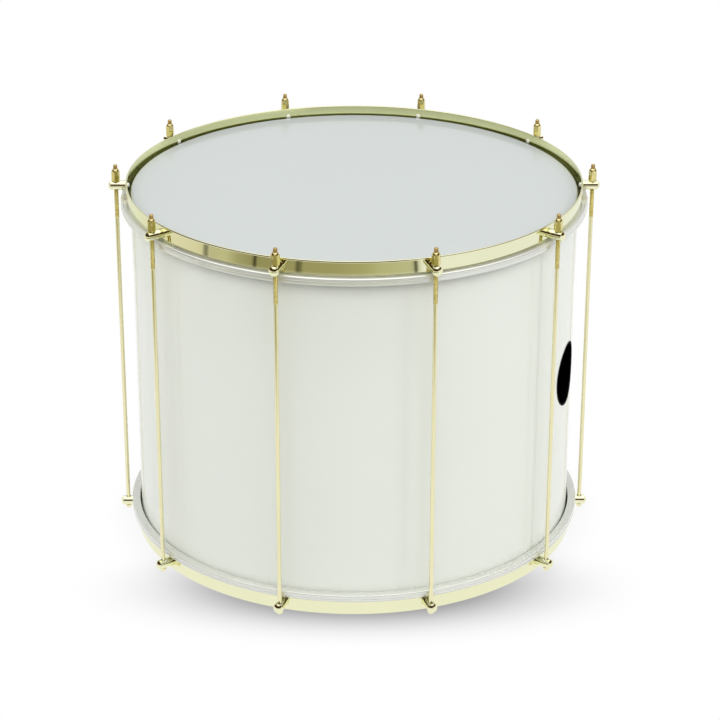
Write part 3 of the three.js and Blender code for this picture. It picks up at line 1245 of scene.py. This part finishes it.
@dataclass
class Nut:
    """A tuning nut: six flats between a round seat and a grooved, tapered crown."""

    plan: Plan
    across_flats: float = 8.4 * MM
    seat_radius: float = 3.7 * MM
    seat_height: float = 1.9 * MM
    seat_ease: float = 0.4 * MM
    under_round: float = 1.4 * MM
    crown_height: float = 3.4 * MM
    crown_radius: float = 3.2 * MM
    crown_ease: float = 0.35 * MM
    crown_power: float = 1.3
    groove_drops: tuple[float, ...] = (6.6 * MM, 5.2 * MM)
    groove_width: float = 0.8 * MM
    groove_depth: float = 0.45 * MM
    bore_radius: float = 2.54 * MM
    under_parts: int = 6
    body_rows: int = 8
    crown_rows: int = 7
    columns: int = 72
    turn_shares: tuple[float, ...] = (0.17, 0.52, 0.2, 0.0, 0.0, 0.0, 0.0, 0.33, 0.0, 0.72)

    def envelope(self) -> Array:
        """The turned outline that the six flats are cut into, as (radius, height) rows."""
        full = self.across_flats / 2 / math.cos(math.pi / 6)
        height, half = self.plan.nut_height, self.groove_width / 2
        under_top = self.seat_height + self.under_round
        vee = np.array([[full, -half], [full - self.groove_depth, 0.0], [full, half]])
        body_top = height - self.groove_drops[0] - self.groove_width
        crown = np.linspace(0.0, 1.0, self.crown_rows)
        narrowed = full + (self.crown_radius - full) * crown**self.crown_power
        risen = height - self.crown_height + (self.crown_height - self.crown_ease) * crown
        return np.concatenate(
            [
                [[self.bore_radius, 0.0], [self.seat_radius - self.seat_ease, 0.0]],
                [[self.seat_radius, self.seat_ease]],
                quarter((self.seat_radius, self.seat_height), (full, under_top), self.under_parts),
                rows_of(full, np.linspace(under_top, body_top, self.body_rows)[1:]),
                *[vee + np.array([[0.0, height - drop]]) for drop in self.groove_drops],
                rows_of(narrowed, risen),
                [[self.crown_radius - self.crown_ease, height], [self.bore_radius, height]],
            ]
        )

    def skin(self, lug: int) -> Skin:
        """The nut's surface, its base at height 0, turned as it stands on its rod.

        At azimuth a the hexagon's face lies at half the width across flats over the cosine of
        a's distance to the nearest flat, and the surface is the lesser of that and the outline.

        Args:
            lug: The number of its lug, from 0.

        Returns:
            The surface.
        """
        outline = self.envelope()
        azimuth = turn_steps(self.columns)
        sixth = FULL_TURN / 6
        hexagon = self.across_flats / 2 / np.cos(azimuth % sixth - sixth / 2)
        radius = np.minimum(outline[:, :1], hexagon)
        turned = azimuth + self.turn_shares[lug % len(self.turn_shares)] * sixth
        skin = Skin(name_of("hex_nut", lug))
        skin.add_grid(round_axis(radius, turned, outline[:, 1:]), close_rows=True)
        return skin


@dataclass
class Tension:
    """The rods and nuts of all lugs."""

    plan: Plan

    def to_lug(self, skin: Skin, lug: int, height: float) -> None:
        """Takes a skin from its own axis to a lug's place on the rod circle."""
        azimuth = self.plan.lug_azimuth(lug)
        offset = np.array([0.0, -self.plan.rod_circle_radius, height])
        skin.transform(lambda points: turned_about_z(points + offset, azimuth))

    def build(self) -> None:
        """Builds each rod, with its thread and dull tip, and each nut."""
        rod, nut = Rod(self.plan), Nut(self.plan)
        nut_top = self.plan.nut_bottom + self.plan.nut_height
        for lug in range(self.plan.lug_count):
            skin = rod.skin(name_of("rod", lug))
            self.to_lug(skin, lug, 0.0)
            piece = skin.build(ROD_PLATE, Body.LOWER_RIM.value, name_of("tension_rod", lug), crease=50.0)
            dress(piece, THREAD_PLATE, lambda _, height, outwards: height > rod.thread_low)
            dress(piece, DULL_TIP, lambda _, height, outwards: height > nut_top)
            skin = nut.skin(lug)
            self.to_lug(skin, lug, self.plan.nut_bottom)
            skin.build(NUT_PLATE, name_of("nut", lug), name_of("tuning_nut", lug), crease=24.0)


@dataclass
class Studio:
    """The floor, the light and the camera.

    Polished metal mirrors a studio round the drum: a white floor that ends in a warm, dark gap
    in front, a dark stretch of room above the horizon, and a bright ceiling. Plain surfaces are
    lit by a faint sky with one bright band high in front and another low behind, and the
    camera sees white, with a painted shadow of the drum on the floor.
    """

    focal_pixels: float = 2478.32
    frame_pixels: float = 720.0
    sensor_mm: float = 36.0
    distance: float = 2.6571
    height: float = 1.3788
    pitch: float = math.radians(24.0415)
    roll: float = math.radians(-0.1165)
    yaw: float = math.radians(0.1478)
    phase: float = math.radians(0.3342)
    far_clip: float = 100.0
    floor_half: float = 14.0
    floor_colour: float = 0.5
    sky_level: float = 0.3
    key_level: float = 2.26
    key_heights: Stops = ((0.38, 0.0), (0.5, 1.0), (0.84, 1.0), (0.92, 0.0))
    key_reach: tuple[float, float] = (0.35, -0.05)
    fill_level: float = 1.7
    fill_heights: Stops = ((0.0, 0.0), (0.04, 1.0), (0.32, 1.0), (0.42, 0.0))
    mirrored_white: float = 0.97
    gap_reach: tuple[float, float, float, float] = (0.80, 1.04, 1.9, 2.6)
    gap_tones: tuple[tuple[float, Colour], ...] = (
        (-180.0, (0.72, 0.72, 0.66)),
        (-156.0, (0.78, 0.78, 0.68)),
        (-132.0, (0.86, 0.885, 0.77)),
        (-90.0, (0.815, 0.778, 0.653)),
        (-76.0, (0.764, 0.719, 0.578)),
        (-68.0, (0.57, 0.545, 0.39)),
        (-60.0, (0.585, 0.56, 0.385)),
        (-53.0, (0.40, 0.38, 0.225)),
        (-45.0, (0.335, 0.31, 0.165)),
        (-8.0, (0.387, 0.36, 0.196)),
        (4.0, (0.44, 0.42, 0.235)),
        (12.0, (0.53, 0.525, 0.327)),
        (27.0, (0.585, 0.575, 0.42)),
        (30.0, (0.935, 0.945, 0.98)),
        (125.0, (0.93, 0.945, 0.98)),
        (145.0, (0.915, 0.93, 0.93)),
        (153.0, (0.75, 0.75, 0.70)),
        (161.0, (0.88, 0.89, 0.83)),
        (180.0, (0.75, 0.75, 0.70)),
    )
    stand_azimuths: tuple[float, ...] = (-71.0, -45.1, -24.7, 26.6)
    stand_half: float = 0.7
    stand_level: float = 0.12
    room_heights: Stops = ((0.0, 0.0), (0.56, 0.0), (0.68, 0.65), (0.82, 1.0))
    right_heights: Stops = ((0.0, 0.6), (0.16, 0.57), (0.22, 0.0), (0.56, 0.0), (0.68, 0.65), (0.82, 1.0))
    right_reach: tuple[float, float] = (0.35, 0.5)
    room_shade: Colour = (0.065, 0.034, 0.012)
    room_gain: float = 1.5
    back_level: float = 0.7
    back_reach: tuple[float, float] = (0.25, 0.55)
    pool_centre: tuple[float, float] = (0.006, -0.197)
    pool_half: tuple[float, float] = (0.367, 0.155)
    pool_inner: float = 0.13
    pool_depth: float = 0.82
    pool_power: float = 1.73
    contact_reach: float = 0.04
    contact_depth: float = 0.05
    contact_full: float = 0.5
    contact_samples: int = 16
    lamp_size: tuple[float, float] = (0.35, 1.2)
    lamp_reach: float = 2.4
    lamp_lift: float = 1.6
    lamp_aim: float = 0.2
    lamps: tuple[tuple[str, float, float], ...] = (("left_lamp", -75.0, 1.2), ("right_lamp", 68.0, 7.5))

    def camera(self) -> None:
        """Sets the camera at the photograph's place.

        Its forward axis leans down by the pitch and swings by the yaw, and its right axis
        leans by the roll. The whole is then turned by the drum's own small turn.
        """
        right = np.array([math.cos(self.yaw), -math.sin(self.yaw), 0.0])
        ahead = np.array([math.sin(self.yaw), math.cos(self.yaw), 0.0])
        up = np.array([0.0, 0.0, 1.0])
        forward = math.cos(self.pitch) * ahead - math.sin(self.pitch) * up
        lifted = math.sin(self.pitch) * ahead + math.cos(self.pitch) * up
        side = math.cos(self.roll) * right - math.sin(self.roll) * lifted
        top = math.sin(self.roll) * right + math.cos(self.roll) * lifted
        place = np.array([0.0, -self.distance, self.height])
        axes = turned_about_z(np.stack([side, top, -forward, place]), -self.phase)
        data = bpy.data.cameras.new("photo_camera")
        data.sensor_width = self.sensor_mm
        data.lens = self.focal_pixels / self.frame_pixels * self.sensor_mm
        data.clip_end = self.far_clip
        camera = in_scene("photo_camera", data)
        camera.matrix_world = Matrix([*axes.T.tolist(), [0.0, 0.0, 0.0, 1.0]])
        bpy.context.scene.camera = camera

    def mirrored_floor(self, graph: Graph, place: Socket) -> Socket:
        """The floor that polished surfaces mirror.

        White near the drum. Past the reach of the table it takes the gap's tone for that
        azimuth, darkened where a lamp stand crosses it, and far out it is white again.

        Args:
            graph: The floor's graph.
            place: The point on the floor.

        Returns:
            The colour's socket.
        """
        x, y, _ = graph.split(place)
        azimuth = graph.math("ARCTAN2", x, graph.math("MULTIPLY", y, -1.0))
        share = graph.spread(azimuth, -math.pi, math.pi)
        tone = graph.ramp(share, [(degrees / 360.0 + 0.5, colour) for degrees, colour in self.gap_tones])
        stands = [(0.0, 1.0)]
        for degrees in self.stand_azimuths:
            for step, level in ((-2.0, 1.0), (-0.5, self.stand_level), (0.5, self.stand_level), (2.0, 1.0)):
                stands.append(((degrees + step * self.stand_half) / 360.0 + 0.5, level))
        tone = graph.mix(1.0, tone, graph.levels(share, stands), way="MULTIPLY")
        distance = graph.vector("LENGTH", place, out="Value")
        near, full, end, faded = self.gap_reach
        inner = graph.spread(distance, near, full, smooth=True)
        outer = graph.spread(distance, end, faded, 1.0, 0.0, smooth=True)
        return graph.mix(graph.math("MULTIPLY", inner, outer), grey(self.mirrored_white), tone)

    def world(self) -> None:
        """The sky with its two bands for plain surfaces, and the room for polished ones."""
        world = bpy.data.worlds.new("studio")
        bpy.context.scene.world = world
        world.use_nodes = True
        graph = Graph(world.node_tree)
        x, y, z = graph.split(graph.place("TexCoord").outputs["Generated"])
        path = graph.place("LightPath").outputs
        right = graph.spread(x, *self.right_reach)
        room = graph.mix(right, graph.levels(z, self.room_heights), graph.levels(z, self.right_heights))
        room = graph.vector("MULTIPLY_ADD", room, (self.room_gain,) * 3, self.room_shade)
        behind = graph.spread(y, *self.back_reach, smooth=True)
        mirrored = graph.mix(behind, room, grey(self.back_level), way="LIGHTEN")
        key = (self.key_heights, self.key_reach, self.key_level)
        fill = (self.fill_heights, self.key_reach[::-1], self.fill_level)
        level = self.sky_level
        for heights, reach, strength in (key, fill):
            light = graph.math("MULTIPLY", graph.spread(y, *reach, smooth=True), strength)
            level = graph.math("MULTIPLY_ADD", graph.levels(z, heights), light, level)
        plain = graph.mix(path["Is Camera Ray"], graph.join(level, level, level), grey(1.0))
        background = world.node_tree.nodes["Background"].inputs
        graph.feed(background["Color"], graph.mix(path["Is Glossy Ray"], plain, mirrored))
        graph.feed(background["Strength"], 1.0)

    def shade(self, graph: Graph, place: Socket) -> Socket:
        """How much of the white floor shows: less in the drum's shadow.

        The shadow is painted: an elliptical pool set in front of the drum as if light from behind
        threw it forwards, one less the distance from its centre in half widths, eased and raised to
        a power. A tight painted contact shade from the nearness of the drum is added all round.

        Args:
            graph: The floor's graph.
            place: The point on the floor.

        Returns:
            The socket of the level, from dark to 1.
        """
        # Painted shadow: an elliptical pool of shade in front of the drum, and a contact shade all round.
        centred = graph.vector("SUBTRACT", place, (*self.pool_centre, 0.0))
        scaled = graph.vector("DIVIDE", centred, (*self.pool_half, 1.0))
        reach = graph.vector("LENGTH", scaled, out="Value")
        pool = graph.math("POWER", graph.spread(reach, 1.0, self.pool_inner, smooth=True), self.pool_power)
        near = graph.place("AmbientOcclusion", samples=self.contact_samples)
        graph.feed(near.inputs["Distance"], self.contact_reach)
        contact = graph.spread(near.outputs["AO"], 1.0, self.contact_full)
        contact = graph.math("MULTIPLY", contact, self.contact_depth)
        dark = graph.math("MULTIPLY_ADD", pool, self.pool_depth, contact)
        return graph.math("SUBTRACT", 1.0, dark)

    def floor(self) -> None:
        """A wide pale floor that shows in reflections, with the drum's shadow painted on it."""
        mesh = bpy.data.meshes.new("studio_floor")
        half = self.floor_half
        places = [(x * half, y * half, 0.0) for x, y in ((-1, -1), (1, -1), (1, 1), (-1, 1))]
        mesh.from_pydata(places, [], [(0, 1, 2, 3)])
        in_scene("studio_floor", mesh)
        made = bpy.data.materials.new("studio_floor")
        made.use_nodes = True
        mesh.materials.append(made)
        graph = Graph(made.node_tree)
        shader = graph.principled(
            {"Base Color": grey(self.floor_colour), "Roughness": 1.0, "Specular IOR Level": 0.0}
        )
        place = graph.place("TexCoord").outputs["Object"]
        path = graph.place("LightPath").outputs
        # Camera rays see the floor with its painted shadow; glossy rays see the mirrored floor.
        seen, mirrored = [
            graph.place("Emission", colour).outputs[0]
            for colour in (self.shade(graph, place), self.mirrored_floor(graph, place))
        ]
        direct = graph.place("MixShader", path["Is Camera Ray"], shader.outputs["BSDF"], seen)
        final = graph.place("MixShader", path["Is Glossy Ray"], direct.outputs[0], mirrored)
        graph.feed(made.node_tree.nodes["Material Output"].inputs["Surface"], final.outputs[0])

    def lamp(self, name: str, azimuth: float, energy: float) -> None:
        """A soft lamp in front, which throws faint shadows of the rods on the shell.

        Args:
            name: The lamp's name.
            azimuth: Where it stands round the drum.
            energy: Its power in watts.
        """
        data = bpy.data.lights.new(name, "AREA")
        data.shape = "RECTANGLE"
        data.size, data.size_y = self.lamp_size
        data.energy = energy
        lamp = in_scene(name, data)
        out = Vector((math.sin(azimuth), -math.cos(azimuth), 0.0))
        lamp.location = out * self.lamp_reach + Vector((0.0, 0.0, self.lamp_lift))
        aim = Vector((0.0, 0.0, self.lamp_aim)) - lamp.location
        lamp.rotation_euler = aim.to_track_quat("-Z", "Y").to_euler()
        lamp.visible_glossy = False

    def build(self) -> None:
        """Sets up everything round the drum."""
        bpy.context.scene.view_settings.view_transform = "Standard"
        self.camera()
        self.world()
        self.floor()
        for name, degrees, energy in self.lamps:
            self.lamp(name, math.radians(degrees), energy)


def corners(box: tuple) -> list[list[float]]:
    """A box's two corners as plain lists of numbers."""
    return [[float(v) for v in corner] for corner in box]


def main() -> None:
    """Builds the drum round the frame."""
    logging.basicConfig(level=logging.INFO, format="%(name)s: %(message)s")
    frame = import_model()
    plan = Plan.from_frame(sorted(frame["nodes"]))
    LOG.info("plan: %s", plan)
    Studio().build()
    shell = Shell(plan)
    shell.build()
    PortTrim(shell).build()
    for side in Side:
        Rim(plan, side).build()
    Posts(plan).build()
    Tension(plan).build()


if __name__ == "__main__":
    main()
